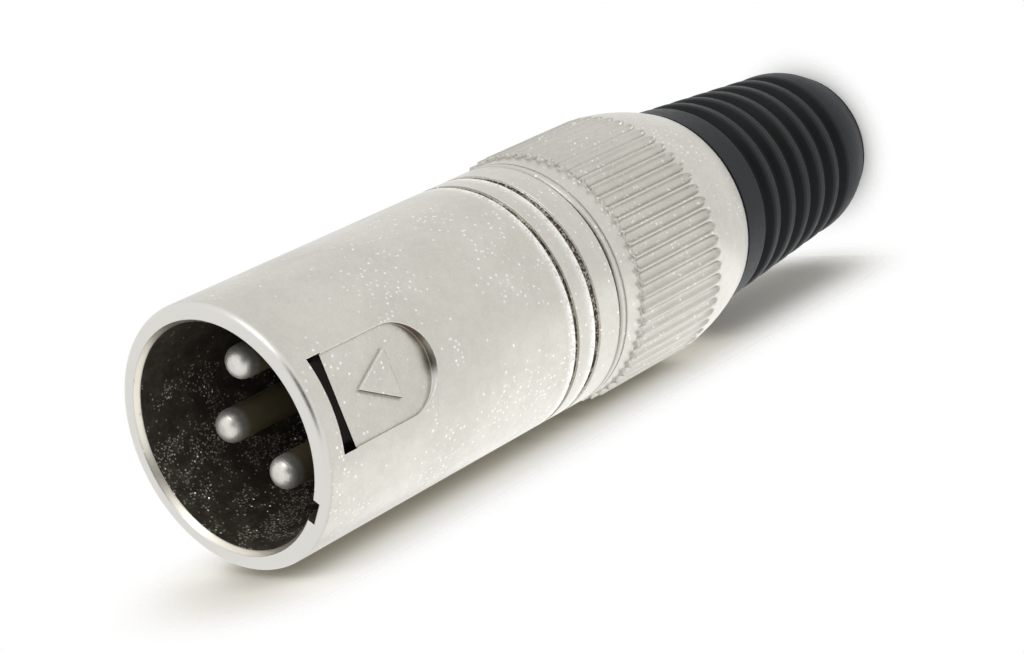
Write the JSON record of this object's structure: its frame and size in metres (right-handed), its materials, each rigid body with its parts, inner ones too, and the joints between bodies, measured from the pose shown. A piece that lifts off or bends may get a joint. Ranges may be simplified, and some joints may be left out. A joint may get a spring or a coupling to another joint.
{
  "type": "audio cable plug",
  "caption": "Round metal cable plug with contact pins inside a socketed shell, a fluted screw collar, an inner cable clamp and a ribbed rubber boot.",
  "frame": {"origin": "centre of the boot's cable end face, on which the plug stands", "axes": "+Z along the plug's axis towards the mating rim; the latch window faces -Y"},
  "size_m": [0.0197, 0.0196, 0.07],
  "materials": {
    "satin_nickel": "satin nickel plate on die-cast zinc",
    "plated_contact": "silver plate on turned brass",
    "spring_bronze": "plain rolled bronze strip",
    "black_moulding": "moulded, glass-filled",
    "white_moulding": "moulded",
    "black_rubber": "moulded rubber, matte"
  },
  "bodies": {
    "shell": {"shell": "satin_nickel", "insert": "black_moulding", "pin_1": "plated_contact", "pin_2": "plated_contact", "pin_3": "plated_contact", "shell_contact": "spring_bronze", "cable_clamp": "white_moulding"},
    "boot": {"boot": "black_rubber"},
    "collar": {"collar": "satin_nickel"}
  },
  "joints": [
    {"name": "boot_travel", "type": "slide", "parent": "shell", "child": "boot", "axis": [0, 0, -1], "range_m": [0, 0.006]},
    {"name": "collar_screw", "type": "hinge", "parent": "boot", "child": "collar", "pos_m": [0, 0, 0.03], "axis": [0, 0, -1], "range_deg": [0, 2160]}
  ],
  "couplings": [
    {"joint": "collar_screw", "follows": "boot_travel", "rad_per_m": 6283.2}
  ]
}
